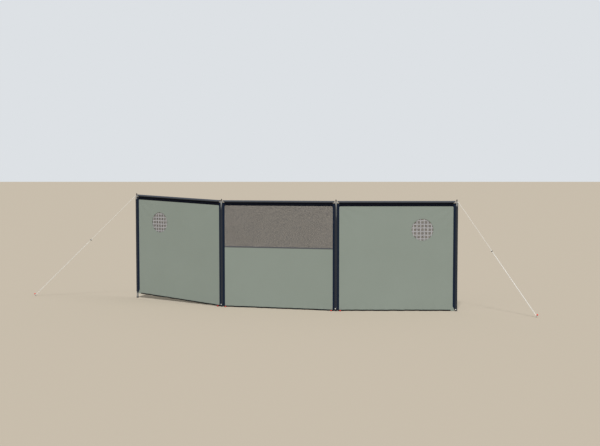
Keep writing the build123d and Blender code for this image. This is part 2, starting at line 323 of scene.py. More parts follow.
def stitched(tree, colour, look, rows):
    # Painted highlight where the cloth is drawn over a pole or rod, at a seam attribute near 0;
    # rows of lock stitch run where that attribute has the values in rows
    across = addNode(tree, "Attribute", {"attribute_name": "seam"}).outputs["Fac"]
    highlightMix = addRange(tree, across, look["fade"], 0.0, *look["highlightAt"])
    beat = addMath(tree, "FRACT", addMath(tree, "DIVIDE", addPlaces(tree)[1], look["stitch"]))
    dash = addMath(tree, "LESS_THAN", beat, look["shows"])
    line = 0.0
    for row in rows:
        away = addMath(tree, "ABSOLUTE", addMath(tree, "SUBTRACT", across, row))
        line = addMath(tree, "MAXIMUM", addMath(tree, "LESS_THAN", away, look["threadHalf"]), line)
    colour = addMix(tree, highlightMix, colour, look["highlightColour"])
    return addMix(tree, addMath(tree, "MULTIPLY", line, dash), colour, look["thread"])


def wovenMaterial(name, look, rows=()):
    # Woven cloth: fine relief of crossing threads with painted shade that follows it, dull, faintly clouded
    # by dust, and on the border cloths a painted highlight over poles and rods
    material, tree = newMaterial(name)
    weave = weaveHeight(tree, look["pitch"])
    base = addMix(tree, addNoise(tree, look["cloudScale"], 4.0), look["dark"], look["light"])
    # Painted shade: the weave's relief mixes the colour towards the deep shade colour
    shade = addRange(tree, weave, 0.0, look["weaveShade"], -1.0)
    colour = addMix(tree, shade, base, look["deep"])
    low, high = look["rough"] - yarnNoise["spread"], look["rough"] + yarnNoise["spread"]
    return finished(material, {
        "Base Color": stitched(tree, colour, look, rows) if rows else colour,
        "Roughness": addRange(tree, addNoise(tree, yarnNoise["scale"], 2.0), low, high),
        "Normal": addBump(tree, look["relief"], yarnNoise["relief"], weave),
        "Specular IOR Level": look["gloss"],
    })


canvasLook = {
    "dark": "#8B958D",
    "light": "#919B94",
    "deep": "#808B82",
    "weaveShade": 0.25,
    "pitch": 0.0012,  # threads lie 0.4 mm apart, drawn three times as coarse to show
    "cloudScale": 2.2,  # clouds to the metre
    "rough": 0.88,
    "relief": 0.35,
    "gloss": 0.25,
}
sleeveLook = {
    "dark": "#162235",
    "light": "#1D2A40",
    "deep": "#121923",
    # Painted highlight on the pocket round the pole, mixed in at the share below
    "highlightColour": "#373A40",
    "fade": 0.8,
    "highlightAt": (0.006, 0.014),  # places across the cloth
    "weaveShade": 0.5,
    "pitch": 0.0016,  # threads lie 0.5 mm apart, drawn three times as coarse to show
    "cloudScale": 6.0,
    "rough": 0.85,
    "relief": 0.6,
    "gloss": 0.05,
    "thread": "#3A3F4B",
    "threadHalf": 0.0006,  # half its width
    "stitch": 0.004,  # length of one stitch
    "shows": 0.68,  # share of it that lies on the face
}
bandLook = {
    **sleeveLook,
    # Painted shade: the band's colours are the border cloth's made darker
    "dark": "#080B16",
    "light": "#0C101E",
    "deep": "#05070D",
    # Painted highlight on the upper part of the rod pocket
    "highlightColour": "#51565F",
    "fade": 0.9,
    "highlightAt": (0.003, 0.011),
}
webbingLook = {
    **sleeveLook,
    "dark": "#0F1013",
    "light": "#17191D",
    "deep": "#08090B",
    "fade": 0.0,
    "weaveShade": 0.6,
    "pitch": 0.002,  # ribs as far apart as on the real webbing
    "cloudScale": 9.0,
    "relief": 0.8,
    "thread": "#30333A",
}
tapeLook = {
    "dark": "#A8A8AB",
    "light": "#BCBBBE",
    "deep": "#8A8A8E",
    "weaveShade": 0.5,
    "pitch": 0.0016,  # ribs lie 0.8 mm apart, drawn twice as coarse to show
    "cloudScale": 14.0,
    "rough": 0.7,
    "relief": 0.7,
    "gloss": 0.25,
}

# Acrylic-coated polyester canvas, plain woven: an even sage grey with the faintest clouding
canvas = wovenMaterial("coatedPolyesterCanvas", canvasLook)
# Solution-dyed polyester cloth, folded and lock stitched: near black with a cool cast, and a painted
# highlight on the pockets round the poles
borderCloth = wovenMaterial("dyedPolyesterBorder", sleeveLook, (0.0225, 0.0395))
# Dyed cloth stitched under the rod and along its edge: black, darker than the border cloth by painted shade,
# with a painted highlight over the top of the rod pocket
bandCloth = wovenMaterial("dyedPolyesterBand", bandLook, (0.0295, 0.0475))
# Polypropylene webbing, woven flat: black with a coarse rib
webbing = wovenMaterial("wovenWebbing", webbingLook, (0.0115,))
# Grosgrain tape of pale polyester, ribbed across
paleTape = wovenMaterial("grosgrainTape", tapeLook)
# Binding tape of grey polyester, folded over a raw edge
bindingLook = {**tapeLook, "dark": "#5A5C60", "light": "#65676B", "deep": "#47494D", "gloss": 0.12}
bindingTape = wovenMaterial("foldedBindingTape", bindingLook)


netLook = {"dark": "#4C4C4D", "light": "#58585A", "cloudScale": 5.0, "rough": 0.6, "ior": 1.46}


def netMaterial(look):
    # Vinyl-coated polyester yarn, welded into a net: dark grey, half dull, slightly lighter where worn
    material, tree = newMaterial("vinylCoatedNet")
    colour = addMix(tree, addNoise(tree, look["cloudScale"], 3.0), look["dark"], look["light"])
    return finished(material, {"Base Color": colour, "Roughness": look["rough"], "IOR": look["ior"]})


cordLook = {
    "light": "#FCFBF8",
    "dark": "#D6D4CE",
    "grooveShade": 0.45,  # share of the darker colour in the grooves
    "plait": 0.006,  # length of one turn
    "strands": 4,
    "rough": 0.55,
    "relief": 0.0005,
}


def cordMaterial(look):
    # Braided polypropylene cord: white, plaited in diamonds that follow the cord, with painted shade in the
    # grooves between strands, slightly glossy
    material, tree = newMaterial("braidedPolypropylene")
    along = addMath(tree, "MULTIPLY", addPlaces(tree)[0], 2 * np.pi / look["plait"])
    around = addMath(tree, "MULTIPLY", addPlaces(tree)[1], 2 * np.pi * look["strands"])
    left = addMath(tree, "SINE", addMath(tree, "ADD", along, around))
    right = addMath(tree, "SINE", addMath(tree, "SUBTRACT", along, around))
    plait = addMath(tree, "MULTIPLY", left, right)
    shade = addRange(tree, plait, 0.0, look["grooveShade"], -1.0)
    return finished(material, {
        "Base Color": addMix(tree, shade, look["light"], look["dark"]),
        "Roughness": look["rough"],
        "Normal": addBump(tree, 0.9, look["relief"], plait),
    })


steelSurface = {
    "cloud": 30.0,  # dulled patches of about 30 mm
    "scuff": 240.0,  # scuffs of about 4 mm
    "smoother": 0.08,
    "rougher": 0.1,
    "relief": 0.0003,
}


def steelMaterial(name, look):
    # Zinc-coated steel: pale grey crystals of slightly different polish, scuffed and dulled by salt air
    material, tree = newMaterial(name)
    space = addNode(tree, "TexCoord").outputs["Object"]
    crystal = addNode(tree, "TexVoronoi", None, {"Vector": space, "Scale": look["spangle"]})
    tone = addNode(tree, "SeparateXYZ", None, {0: crystal.outputs["Color"]})
    colour = addMix(tree, tone.outputs[0], look["dark"], look["light"])
    low, high = look["rough"] - steelSurface["smoother"], look["rough"] + steelSurface["rougher"]
    scuff = addNoise(tree, steelSurface["scuff"], 3.0)
    return finished(material, {
        "Base Color": addMix(tree, addNoise(tree, steelSurface["cloud"], 5.0), colour, look["salt"]),
        "Metallic": 1.0,
        "Roughness": addRange(tree, tone.outputs[1], low, high),
        "Normal": addBump(tree, 0.15, steelSurface["relief"], scuff),
    })


mouldedSurface = {
    "grain": 900.0,  # spark-eroded grain of about 1 mm, drawn coarser than real to show
    "cloud": 60.0,
    "spread": 0.1,
    "relief": 0.0002,
}


def mouldedMaterial(name, look):
    # Injection-moulded plastic: even colour, a fine spark-eroded grain and rubbed, slightly paler patches
    material, tree = newMaterial(name)
    cloud = addNoise(tree, mouldedSurface["cloud"], 4.0)
    low, high = look["rough"] - mouldedSurface["spread"], look["rough"] + mouldedSurface["spread"]
    return finished(material, {
        "Base Color": addMix(tree, cloud, look["dark"], look["light"]),
        "Roughness": addRange(tree, cloud, low, high),
        "IOR": look["ior"],
        "Normal": addBump(tree, 0.2, mouldedSurface["relief"], addNoise(tree, mouldedSurface["grain"], 2.0)),
    })


netYarn = netMaterial(netLook)
braidedCord = cordMaterial(cordLook)
# Zinc crystals of 11 mm on the dipped tube, a fine bright plating on the pins
galvanised = {"dark": "#8D9093", "light": "#B2B5B7", "salt": "#A4A6A6", "spangle": 90.0, "rough": 0.38}
zincPlated = {"dark": "#B4B5B3", "light": "#DAD9D5", "salt": "#C6C4BE", "spangle": 400.0, "rough": 0.3}
poleSteel = steelMaterial("galvanisedSteelTube", galvanised)
pinSteel = steelMaterial("zincPlatedSteel", zincPlated)
# Plastics of the sliders and foot plugs, the pin caps, the pegs' heads and the studs
blackLook = {"dark": "#17181A", "light": "#242628", "rough": 0.5, "ior": 1.51}
greyLook = {"dark": "#4A4644", "light": "#5E5956", "rough": 0.5, "ior": 1.49}
redLook = {"dark": "#D02019", "light": "#EB3B28", "rough": 0.38, "ior": 1.49}
whiteLook = {"dark": "#ECECE8", "light": "#F8F8F5", "rough": 0.35, "ior": 1.53}
blackPolythene = mouldedMaterial("mouldedPolythene", blackLook)
greyPlastic = mouldedMaterial("mouldedGreyPlastic", greyLook)
redPlastic = mouldedMaterial("mouldedRedPolypropylene", redLook)
whiteNylon = mouldedMaterial("mouldedWhiteNylon", whiteLook)
print("materials made")


# How the cloth hangs

fall = {
    "ripple": 0.003,  # folds just above the hem
    "rippleFade": 0.055,
    "rippleWaves": (0.108, 0.071, 0.163),
    "rippleShift": 1.3,
    "belly": 0.003,  # slack in the middle of a bay
    "pull": 0.0005,  # folds that run out of the top corners
    "pullRays": 17,  # radians of the wave for each radian round the corner
    "pullFocus": 0.05,  # how far beyond the corner they meet
    "pullFrom": 0.25,  # from the corner to where they are deepest
    "pullFade": 0.18,
    "scallop": 0.002,  # most that the hem rises off the ground
    "footWaves": (0.43, 0.19, 0.112),
    "footFade": 0.06,
    "calm": 0.11,  # length over which folds grow to full depth
    "curl": 34.0,  # degrees, where the hem turns back most
    "curlWaves": (0.61, 0.27, 0.15),
    "curlShift": 0.6,
}
waveStart = {"left": 0.4, "middle": 2.1, "right": 4.4}
hem = {
    "height": 0.015,
    "lift": 0.0011,
    "cloth": 0.001,
    "fold": 0.0019,
    "start": 0.068,  # end pole's axis to the end of the tape
    "startEase": 0.024,
    "step": 0.008,
}


def waves(along, lengths, start):
    # Mean of sine waves of several lengths, each shifted by its place in the list
    parts = [np.sin(2 * np.pi * along / length + start * (n + 1)) for n, length in enumerate(lengths)]
    return sum(parts) / len(lengths)


def awayFromPoles(along):
    return eased((np.minimum(along, bayWidth - along) - cloth["reach"]) / fall["calm"])


def bareCorner(bay, along):
    # 1 beside an end pole, where the panel's own edge shows, 0 where the tape covers it
    away = {"left": along, "middle": bayWidth + 0 * along, "right": bayWidth - along}[bay]
    return eased((hem["start"] + hem["startEase"] / 2 - away) / hem["startEase"])


def lifted(bay, along, height):
    # Ground line + height + scallop x (1 + waves) / 2, which is 0 at the poles and fades upwards
    rise = 0.5 + 0.5 * waves(along, fall["footWaves"], waveStart[bay])
    rise = fall["scallop"] * awayFromPoles(along) * rise
    return height + footLine(bay, along) + rise * np.exp(-height / fall["footFade"])


def curled(bay, along, depth, height):
    # Below the hem's upper edge all turns back about that edge, by an angle that varies along the bay
    top = hem["lift"] + hem["height"]
    share = eased(0.5 + waves(along, fall["curlWaves"], waveStart[bay] + fall["curlShift"]))
    angle = np.radians(fall["curl"]) * awayFromPoles(along) * share
    below = np.clip(top - height, 0, None)
    turn = angle * (below > 0)
    backward = depth * np.cos(turn) + below * np.sin(turn)
    return backward, np.maximum(height, top) - below * np.cos(turn) + depth * np.sin(turn)


def clothDepth(bay, along, height):
    # Belly of one half wave each way + ripples that fade upwards + faint folds fanned out of the corners
    u = along / bayWidth
    v = np.clip(height / rodHeight, 0, 1)
    belly = fall["belly"] * np.sin(np.pi * u) * np.sin(np.pi * v)
    ripple = waves(along, fall["rippleWaves"], waveStart[bay] + fall["rippleShift"])
    ripple = fall["ripple"] * ripple * awayFromPoles(along) * np.exp(-height / fall["rippleFade"])
    corner = np.minimum(along, bayWidth - along)
    spread = np.arctan2(rodHeight - height, corner + fall["pullFocus"])
    distance = np.hypot(rodHeight - height, corner)
    near = np.exp(-((distance - fall["pullFrom"]) / fall["pullFade"]) ** 2)
    return belly + ripple + fall["pull"] * np.sin(fall["pullRays"] * spread) * near


def onCloth(bay, along, z, behind):
    # Point of the fallen cloth at this height over level ground, or so far behind it
    return bayPoint(bay, along, behind + clothDepth(bay, along, z - footLine(bay, along)), z)


# Panels

panelSize = {
    "step": 0.012,
    "footStep": 0.006,
    "footBand": 0.12,
    "foot": 0.008,
    "sideStep": (0.038, 0.056),  # heights between which its side draws back into the border
    "cornerDrop": 0.007,  # how much lower the bare corners reach
    "cornerFade": 0.02,
    "cloth": 0.0009,
}
vent = {
    "radius": 0.14,
    "inset": 0.43,
    "drop": 0.346,
    "rim": 0.012,
    "pitch": 0.046,
    "bar": 0.0135,
    "edge": 0.003,  # how far the turned cloth shows inside the hole
    "tape": 0.001,
    "tapeStep": 0.004,
    "tapeRim": 0.6,  # share of the rim that covers the tapes' ends, and the net's
    "netRim": 0.7,
    "weave": 0.0008,  # how far a tape swings forward and back
    "cup": 0.0005,  # how far a tape's edges lie behind its middle
    "lip": 0.0008,  # front of the turned cloth, before the panel
    "front": 0.0016,
    "tapeDepth": 0.0035,  # tapes behind the panel, and the net behind them
    "netDepth": 0.0056,
    "back": 0.0066,
    "fold": 0.001,
    "cloth": 0.0005,
    "sides": 96,
}


def ventPlace(bay):
    along = vent["inset"] if bay == "left" else bayWidth - vent["inset"]
    return along, rodHeight - vent["drop"] + footLine(bay, along)


def panelPatch(bay):
    # Along from edge to edge, wider apart at the foot, height from hem to seam, less the vent's disc
    top = cloth["sill"] if bay == "middle" else topSeam
    lower = spaced(panelSize["foot"], panelSize["footBand"], panelSize["footStep"])
    upper = spaced(panelSize["footBand"], top, panelSize["step"])[1:]
    height = np.concatenate([lower, upper])[:, None]
    side = np.interp(height, panelSize["sideStep"], (cloth["corner"], innerEdge))
    columns = len(spaced(innerEdge, bayWidth - innerEdge, panelSize["step"]))
    along = side + np.linspace(0, 1, columns) * (bayWidth - 2 * side)
    drop = panelSize["cornerDrop"] * bareCorner(bay, along)
    drop = drop * np.exp((panelSize["foot"] - height) / panelSize["cornerFade"])
    turned, height = curled(bay, along, 0, height - drop)
    z = lifted(bay, along, height)
    flat, quads, uv = grid(joined(along, turned, z), joined(along, z))[:3]
    if bay != "middle":
        centre = np.array(ventPlace(bay))
        offset = flat[:, (0, 2)] - centre
        inside = np.linalg.norm(offset[quads].mean(axis=1), axis=1) < vent["radius"]
        rim = np.intersect1d(quads[inside], quads[~inside])
        flat[rim[:, None], (0, 2)] = centre + unit(offset[rim]) * vent["radius"]
        quads = quads[~inside]
        used, quads = np.unique(quads, return_inverse=True)
        quads = quads.reshape(-1, 4)
        flat, uv = flat[used], flat[used][:, (0, 2)]
    along, turned, z = flat.T
    return onCloth(bay, along, z, turned), quads, uv, 0 * z


def addBays(name, node, patch, material, wall):
    # The same kind of cloth in each bay
    return {bay: addPiece(bay + name, [patch(bay)], material, [bay + node], wall) for bay in bays}


panels = addBays("Panel", "_panel", panelPatch, canvas, (panelSize["cloth"], 0))
print("panels made")


# Window net

net = {
    "pitch": 0.002,  # 1 mm in the real net, drawn twice as coarse, with the same share open
    "width": 0.00106,
    "thickness": 0.0003,
    "bend": 0.06,
    "sillOverlap": 0.008,
}


def yarnPatch(bay, lines, low, high, upright, depth):
    # Flat yarns side by side, each a box section carried from low to high along the fallen cloth
    layer = -0.5 if upright else 0.5
    corner = np.array([(-1, -1), (1, -1), (1, 1), (-1, 1), (-1, -1)]) / 2
    width, proud = corner[:, 0] * net["width"], (corner[:, 1] + layer) * net["thickness"]
    low, high = (np.broadcast_to(end, lines.shape)[:, None, None] for end in (low, high))
    share = spaced(0, 1, net["bend"] / np.max(high - low))[:, None]
    run = low + share * (high - low) + 0 * width
    place = lines[:, None, None] + width + 0 * run
    along, z = (place, run) if upright else (run, place)
    points = onCloth(bay, along, z, depth + proud)
    count, steps, sides = points.shape[:3]
    ends = np.array([[3, 2, 1, 0], [0, 1, 2, 3]]) + np.array([[0], [(steps - 1) * sides]])
    quads = np.concatenate([quadsOf(steps, sides), ends])
    quads = quads[None] + (np.arange(count) * steps * sides)[:, None, None]
    points = points.reshape(-1, 3)
    return points, quads.reshape(-1, 4), points[:, (0, 2)], 0 * points[:, 0]


def netPatches():
    # Upright yarns in front and level yarns behind, from border to border and from sill to seam
    low, far = cloth["sill"] - net["sillOverlap"], bayWidth - innerEdge
    return [
        yarnPatch("middle", spaced(innerEdge, far, net["pitch"]), low, topSeam, True, 0.0),
        yarnPatch("middle", spaced(low, topSeam, net["pitch"]), innerEdge, far, False, 0.0),
    ]


sill = {"below": 0.009, "above": 0.008, "proud": 0.0016, "fold": 0.0015, "cloth": 0.0008, "step": 0.03}


def sillPatch():
    # Tape folded over the lower cloth's upper edge: front face, round fold and back face, carried along
    top, low, proud = cloth["sill"] + sill["above"], cloth["sill"] - sill["below"], sill["proud"]
    section = rounded([(-proud, low), (-proud, top), (proud, top), (proud, low)], sill["fold"])
    along = spaced(innerEdge, bayWidth - innerEdge, sill["step"])
    height = section[:, 1:] + 0 * along
    return grid(onCloth("middle", along, height, section[:, :1]), joined(height, along))


addPiece("windowSillTape", [sillPatch()], bindingTape, wall=(sill["cloth"], -1))
windowNet = addPiece("windowNet", netPatches(), netYarn, ["window_mesh"])
windowNet.data.shade_flat()
print("window net made")


# Sleeves round the poles

sleeve = {
    "radius": 0.0158,  # outside of the pocket round the pole
    "seam": 0.021,  # pole axis to the stitched seam beside the pocket
    "foot": 0.011,
    "taper": 0.062,  # foot of a border's free edge at an end pole
    "level": 0.0195,  # the same at an inner pole
    "shoulder": 0.0108,  # rod axis to the top of border and back
    "slitLeast": 0.01,  # radians, half the opening where the seam's edges meet
    "cloth": 0.0012,
    "crease": 0.0005,
    "creaseWaves": (0.31, 0.127, 0.067),
    "creaseTurn": 5,  # waves' shift for each radian round the pole
    "dip": 0.001,  # how far the front seam is drawn in
    "dipWidth": 0.0025,
    "arcStep": 0.2,
    "rows": ((0, 0.08, 0.006), (0.08, 0.90, 0.02), (0.90, 1, 0.005)),  # shares of the height: from, to, step
    "side": 0.85,  # radians from the seam to where the top starts to rise
    "sideEase": 0.7,
    "slitMost": 0.97,  # most that the opening takes of the cloth beside it
    "hem": 0.004,  # last part of a border, up to its folded edge
    "fold": 0.0016,
    "step": 0.006,
}
closedHead = {
    "notch": 0.046,  # rod axis to the top of the pocket in front
    "slitDepth": 0.008,  # height of the V where the seam opens
    "slitHalf": 0.5,  # radians, half its width at the top
    "tail": 0.0,  # the same for the narrow gap below it
    "tailDepth": 0.1,
    "turn": 0.0,  # radians from the middle of the front to the seam
}
openHead = {**closedHead, "notch": 0.036, "slitDepth": 0.08, "slitHalf": 0.62}
sleeveHeads = {
    "left_end": closedHead,
    "left_inner": openHead,
    "right_inner": {**openHead, "tail": 0.25, "tailDepth": 0.13, "turn": 0.35},
    "right_end": closedHead,
}


def flangeLine(turnsRight):
    # Front face, fold and back face of one border, as points of (along the bay, towards the front)
    reach, half = cloth["reach"], cloth["half"]
    flat = reach - sleeve["hem"]
    run = spaced(sleeve["seam"], flat, sleeve["step"])[:, None]
    fold = rounded([(flat, half), (reach, half), (reach, -half), (flat, -half)], sleeve["fold"], 4)
    line = np.concatenate([run * (1, 0) + (0, half), fold[1:-1], run[::-1] * (1, 0) - (0, half)])
    return line if turnsRight else line[::-1]


def bordersOf(pole):
    # For each bay at the pole: direction away from it, direction to the front, whether it's on the right
    borders = []
    for bay, (left, right) in bays.items():
        forward = bayDirection(bay)
        front = np.array([forward[1], -forward[0]])
        if pole == left:
            borders.insert(0, (forward, front, True))
        if pole == right:
            borders.append((-forward, front, False))
    return borders


def frontOf(pole):
    # Mean of the directions that the bays at this pole face, as an angle round it
    facing = sum(border[1] for border in bordersOf(pole))
    return np.arctan2(facing[1], facing[0])


def sleevePatch(pole):
    # Outline in plan, from the front seam round the pole with a loop along each border, carried up the pole.
    # Where the seam opens into a V, the outline's ends move round the pole with height. The front layer
    # is cut down in a V too, while the back layer goes on up to the rods
    radius, reach, head = sleeve["radius"], cloth["reach"], sleeveHeads[pole]
    borders = bordersOf(pole)
    start = frontOf(pole) + head["turn"]
    touch = np.arccos(radius / np.hypot(cloth["half"], sleeve["seam"]))
    touch = touch + np.arctan2(cloth["half"], sleeve["seam"])
    lift = cloth["rise"] if pole == "left_end" else 0.0
    slope = lift / bayWidth
    foot, middle, top = (spaced(*part) for part in sleeve["rows"])
    share = np.concatenate([foot, middle[1:-1], top])[:, None]
    outerFoot = sleeve["taper"] if len(borders) == 1 else sleeve["level"]

    def heights(away, behind):
        low = np.interp(away, (radius, reach), (sleeve["foot"], outerFoot))
        drop = np.interp(away, (radius, reach), (head["notch"], sleeve["shoulder"]))
        high = rodHeight - drop + behind * (drop - sleeve["shoulder"])
        return low + share * (high - low) + lift - slope * away

    def arc(first, last, openFirst, openLast):
        turn = np.linspace(0, 1, max(5, int((last - first) / sleeve["arcStep"])))
        fromTop = rodHeight - head["notch"] - (heights(np.full(1, radius), 0) - lift)
        gap = head["slitHalf"] * np.clip(1 - fromTop / head["slitDepth"], 0, 1)
        tail = head["tail"] * np.clip(2 - 2 * fromTop / (head["slitDepth"] + head["tailDepth"]), 0, 1)
        gap = np.clip(np.maximum(gap, tail), sleeve["slitLeast"], sleeve["slitMost"] * (last - first))
        angle = first + gap * openFirst + turn * (last - first - gap * (openFirst + openLast))
        away = np.minimum(angle - start, start + 2 * np.pi - angle)
        z = heights(np.full(angle.shape, radius), eased((away - sleeve["side"]) / sleeve["sideEase"]))
        bend = sleeve["crease"] * waves(z, sleeve["creaseWaves"], start + sleeve["creaseTurn"] * angle)
        size = radius + bend - sleeve["dip"] * np.exp(-(away * radius / sleeve["dipWidth"]) ** 2)
        return joined(np.cos(angle) * size, np.sin(angle) * size, z), z * 0

    pieces = []
    current, opening = start, 1
    for forward, front, turnsRight in borders:
        bearing = start + (np.arctan2(forward[1], forward[0]) - start) % (2 * np.pi)
        pieces.append(arc(current, bearing - touch, opening, 0))
        line = flangeLine(turnsRight)
        z = heights(line[:, 0], 0.5 - 0.5 * line[:, 1] / cloth["half"])
        plan = line[:, :1] * forward + line[:, 1:] * front
        pieces.append((joined(*plan.T, z), line[:, 0] + 0 * z))
        current, opening = bearing + touch, 0
    pieces.append(arc(current, start + 2 * np.pi, 0, 1))
    points = np.concatenate([piece[0] for piece in pieces], axis=1)
    seam = np.concatenate([piece[1] for piece in pieces], axis=1)
    uv = joined(lengthAlong(points[0, :, :2]), points[..., 2])
    return grid(points + (*poleAxis[pole], 0), uv, seam)


wall = (sleeve["cloth"], -1)
for pole in poleNames:
    name = "sleeve" + "".join(word.capitalize() for word in pole.split("_"))
    addPiece(name, [sleevePatch(pole)], borderCloth, [pole + "_pole_sleeve"], wall)
print("pole sleeves made")


# Top sleeves round the rods

band = {
    "radius": 0.0145,
    "raise": 0.0035,  # middle of the loose pocket over the rod's axis
    "cloth": 0.0012,
    "pucker": 0.0004,
    "puckerLength": 0.013,
    "puckerFade": 0.006,
    "points": 22,
    "lowerStep": 0.004,
    "endStep": 0.002,
    "step": 0.0045,
    "lead": 0.023,  # crown past the lower part, over the rod's bare end
    "leadSlope": 1.8,
}


def bandPatch(bay):
    # Section from the front edge over the rod and down the back, carried along the bay; the lower edge
    # has a quarter round at each corner, and the crown reaches past the ends
    radius, half, throat = band["radius"], cloth["half"], cloth["pocketDrop"]
    below = throat + band["raise"]
    touch = np.arccos(radius / np.hypot(half, below)) - np.arctan2(half, below)
    arc = np.linspace(-touch, np.pi + touch, band["points"])
    crown = joined(-np.cos(arc), np.sin(arc)) * radius + (0, band["raise"])
    front = joined(-half, spaced(-cloth["bandDrop"], -throat, band["lowerStep"]))
    section = np.concatenate([front, crown, front[::-1] * (-1, 1)])
    side, level = section[:, :1], section[:, 1:]
    reach, corner = cloth["reach"], cloth["cornerRadius"]
    ends = spaced(reach, reach + corner, band["endStep"])
    between = spaced(ends[-1], bayWidth - ends[-1], band["step"])[1:-1]
    along = np.concatenate([ends, between, bayWidth - ends[::-1]])
    fromEnd = np.minimum(along, bayWidth - along) - reach
    inner = np.clip(corner - fromEnd, 0, None)
    drop = corner - np.sqrt(np.clip(corner ** 2 - inner ** 2, 0, None))
    belowSeam = np.clip((-throat - level) / (cloth["bandDrop"] - throat), 0, 1)
    height = rodHeight + level - belowSeam * drop
    tight = np.exp(-((level + throat) / band["puckerFade"]) ** 2)
    pucker = band["pucker"] * tight * np.sin(2 * np.pi * along / band["puckerLength"])
    depth = side + np.sign(side) * pucker + clothDepth(bay, along, height)
    lead = band["lead"] * eased(band["leadSlope"] * level / radius) * eased(1 - fromEnd / corner)
    along = along - lead * np.sign(bayWidth / 2 - along)
    points = bayPoint(bay, along, depth, height + footLine(bay, along))
    return grid(points, joined(lengthAlong(section)[:, None], along), -level)


addBays("TopSleeve", "_top_sleeve", bandPatch, bandCloth, (band["cloth"], -1))
print("top sleeves made")


# Hems

def hemPatch(bay):
    # Tape folded up from below: two faces and a round fold, carried along the foot of the cloth
    half, middle = cloth["half"], hem["height"] / 2
    section = [(-half, hem["height"]), (-half, 0), (half, 0), (half, hem["height"])]
    section = rounded(section, hem["fold"])
    section = np.concatenate([section[:1], [(-half, middle)], section[1:-1], [(half, middle)], section[-1:]])
    ends = [hem["start"] if pole.endswith("end") else cloth["corner"] for pole in bays[bay]]
    along = spaced(ends[0], bayWidth - ends[1], hem["step"])
    level = section[:, 1:] + 0 * along
    depth, height = curled(bay, along, section[:, :1], level + hem["lift"])
    depth = depth + clothDepth(bay, along, height)
    return grid(bayPoint(bay, along, depth, lifted(bay, along, height)), joined(level, along), level)


addBays("HemTape", "_hem", hemPatch, webbing, (hem["cloth"], -1))
print("hems made")


# Vents

def ventPatches(bay):
    # Tapes pass over and under each other: depth = +-weave x cosine of the place along the grid
    # + cup x the square of the share of the width from the tape's middle
    centre = np.array(ventPlace(bay))
    radius = vent["radius"] + vent["rim"] * vent["tapeRim"]
    count = int(radius / vent["pitch"] + 0.5)
    patches = []
    for direction, across, side in (((1, 0), (0, 1), -1), ((0, 1), (-1, 0), 1)):
        for number in range(-count, count):
            offset = (number + 0.5) * vent["pitch"]
            reach = np.sqrt(radius ** 2 - offset ** 2)
            run = spaced(-reach, reach, vent["tapeStep"])[:, None, None]
            share = np.linspace(-1, 1, 5)[:, None]
            place = centre + run * direction + (offset + share * vent["bar"] / 2) * across
            along, z = place[..., 0], place[..., 1]
            weave = side * np.cos(np.pi * (run[..., 0] / vent["pitch"] - 0.5 + number))
            depth = vent["tapeDepth"] + weave * vent["weave"] + vent["cup"] * share[:, 0] ** 2
            patches.append(grid(onCloth(bay, along, z, depth), joined(along, z)))
    return patches


ventNetRadius = vent["radius"] + vent["rim"] * vent["netRim"]


def ventNetPatches(bay):
    # Disc of the window's net: each yarn runs between the places where it meets the circle
    centre, radius = ventPlace(bay), ventNetRadius
    offset = spaced(-radius, radius, net["pitch"])[1:-1]
    reach = np.sqrt(radius ** 2 - offset ** 2)
    patches = []
    for upright, middle, across in ((True, centre[1], centre[0]), (False, centre[0], centre[1])):
        ends = middle - reach, middle + reach
        patches.append(yarnPatch(bay, across + offset, *ends, upright, vent["netDepth"]))
    return patches


def ventRing(bay):
    # Facing round the edges of net and tapes, turned over the edge of the hole: a folded section
    # carried round the circle
    centre = ventPlace(bay)
    inner, outer, front = vent["radius"] - vent["edge"], vent["radius"] + vent["rim"], vent["front"]
    section = [(inner, vent["back"]), (outer, vent["back"]), (outer, front), (inner, front)]
    section += [(inner, -vent["lip"]), (inner + 2 * vent["edge"], -vent["lip"])]
    section = rounded(section, vent["fold"], 4)
    angle = np.linspace(0, 2 * np.pi, vent["sides"] + 1)
    along = centre[0] + np.cos(angle)[:, None] * section[:, 0]
    z = centre[1] + np.sin(angle)[:, None] * section[:, 0]
    uv = joined(angle[:, None] * vent["radius"], section[:, 0])
    return grid(onCloth(bay, along, z, section[:, 1]), uv)


ventNets = {}
for bay in ("left", "right"):
    wall = (vent["tape"], 0)
    addPiece(bay + "VentTapes", ventPatches(bay), paleTape, [bay + "_vent"], wall)
    ventNets[bay] = addPiece(bay + "VentNet", ventNetPatches(bay), netYarn)
    ventNets[bay].data.shade_flat()
    addPiece(bay + "VentRing", [ventRing(bay)], canvas, wall=(vent["cloth"], 0))
print("vents made")


# Guy ropes

# Turn is a rope's bearing in degrees, level its height at the pin
guys = {
    "left": {"pole": "left_end", "run": 1.500, "turn": 174.0, "level": 1.43345},
    "right": {"pole": "right_end", "run": 1.006, "turn": -27.8, "level": 1.37855},
}
rope = {
    "radius": 0.00225,
    "eye": 0.00655,
    "eyeGap": 0.5,  # radians either side of the rope
    "standoff": 0.019,  # pin's axis to the bend
    "bend": 0.01,
    "loop": 0.0085,
    "loopHeight": 0.014,
    "sliderShare": 0.56,
    "knotGap": 0.0093,
    "straight": 0.04,  # from the bend to where it runs straight
    "step": 0.012,
}
knot = {"turns": 2.25, "steps": 60, "spoke": 0.0033, "rise": 0.0042, "drop": 1.1, "cord": 0.0022, "sides": 10}
whipping = {"turns": 5, "steps": 90, "spoke": 0.0028, "rise": 0.0011, "drop": 0, "cord": 0.0006, "sides": 6}
peg = {
    "lean": 60.0,
    "fit": 0.0003,
    "foot": 0.014,  # from where the rope bears to the head
    "shank": 0.004,
    "radius": 0.011,
    "top": 0.00605,
    "tall": 0.014,
    "rim": 0.6,  # share of the height that stands straight
    "edge": 0.0028,
    "steps": 6,
    "sides": 32,
}


